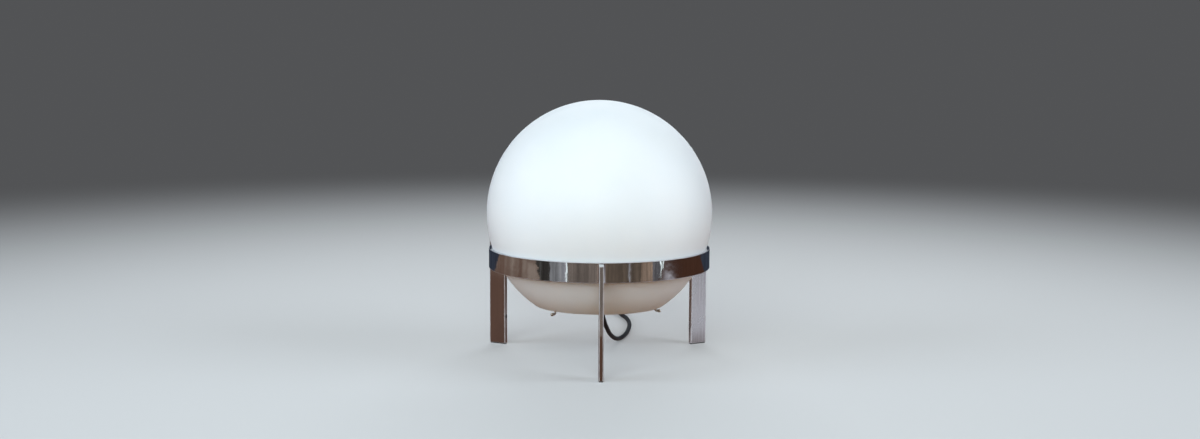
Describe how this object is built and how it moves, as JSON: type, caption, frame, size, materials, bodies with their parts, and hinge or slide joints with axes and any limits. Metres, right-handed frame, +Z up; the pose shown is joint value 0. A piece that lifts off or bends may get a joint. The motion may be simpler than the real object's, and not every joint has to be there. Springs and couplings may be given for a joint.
{
  "type": "table lamp",
  "caption": "Opal glass globe lamp resting in a chromed ring on radial flat-bar legs, with a lampholder hung on sprung wire arms, a cord, a wheel switch and a plug.",
  "frame": {"origin": "on the lamp's axis, in the plane of the table that the foot pads stand on, which is the mount stand_centre", "axes": "+Z up along the globe's axis; the front leg points to -Y; the cord runs to +Y"},
  "size_m": [0.2292, 0.5164, 0.261],
  "materials": {
    "opal_glass": "satin etched opal",
    "chrome": "polished",
    "pad_rubber": "matte",
    "spring_wire": "polished",
    "zinc_steel": "zinc plated",
    "bushing_rubber": "matte",
    "black_phenolic": "gloss",
    "porcelain": "unglazed",
    "brass": "rolled",
    "wire_plastic": "matte",
    "bulb_glass": "frosted",
    "cap_aluminium": "rolled thread",
    "solder": "dull",
    "cord_plastic": "satin",
    "switch_plastic": "fine texture",
    "wheel_plastic": "gloss",
    "plug_plastic": "satin"
  },
  "bodies": {
    "stand": {"ring_band": "chrome", "leg_front": "chrome", "leg_left": "chrome", "leg_right": "chrome", "foot_pad_front": "pad_rubber", "foot_pad_left": "pad_rubber", "foot_pad_right": "pad_rubber", "cord_lead": "cord_plastic", "cord_coil": "cord_plastic", "switch_base": "switch_plastic", "switch_cover": "switch_plastic", "switch_contacts": "brass", "switch_screw": "zinc_steel", "plug_body": "plug_plastic", "plug_blades": "brass"},
    "globe_unit": {"glass_globe": "opal_glass", "holder_hub": "zinc_steel", "threaded_nipple": "zinc_steel", "hub_nut": "zinc_steel", "cord_bushing": "bushing_rubber", "socket_cap": "black_phenolic", "socket_shell": "black_phenolic", "socket_insulator": "porcelain", "screw_shell": "brass", "centre_contact": "brass", "terminal_screws": "brass", "socket_wires": "wire_plastic"},
    "bulb": {"bulb_glass": "bulb_glass", "bulb_cap": "cap_aluminium", "bulb_insulator": "black_phenolic", "bulb_tip": "solder"},
    "arm_left": {"spring_arm_left": "spring_wire"},
    "arm_right": {"spring_arm_right": "spring_wire"},
    "arm_back": {"spring_arm_back": "spring_wire"},
    "wheel": {"switch_wheel": "wheel_plastic"}
  },
  "joints": [
    {"name": "globe_lift", "type": "slide", "parent": "stand", "child": "globe_unit", "axis": [0, 0, 1], "range_m": [0, 0.08]},
    {"name": "bulb_unscrew", "type": "slide", "parent": "globe_unit", "child": "bulb", "axis": [0, 0, 1], "range_m": [0, 0.026]},
    {"name": "arm_left_squeeze", "type": "slide", "parent": "globe_unit", "child": "arm_left", "axis": [0.7449, 0.6672, 0], "range_m": [0, 0.005], "stiffness_N_per_m": 500, "springref_m": -0.002},
    {"name": "arm_right_squeeze", "type": "slide", "parent": "globe_unit", "child": "arm_right", "axis": [-0.9502, 0.3115, 0], "range_m": [0, 0.005], "stiffness_N_per_m": 500, "springref_m": -0.002},
    {"name": "arm_back_squeeze", "type": "slide", "parent": "globe_unit", "child": "arm_back", "axis": [0.2053, -0.9787, 0], "range_m": [0, 0.005], "stiffness_N_per_m": 500, "springref_m": -0.002},
    {"name": "switch_turn", "type": "hinge", "parent": "stand", "child": "wheel", "pos_m": [0.0305, 0.264, 0.00575], "axis": [0, 0, 1], "continuous": true}
  ]
}
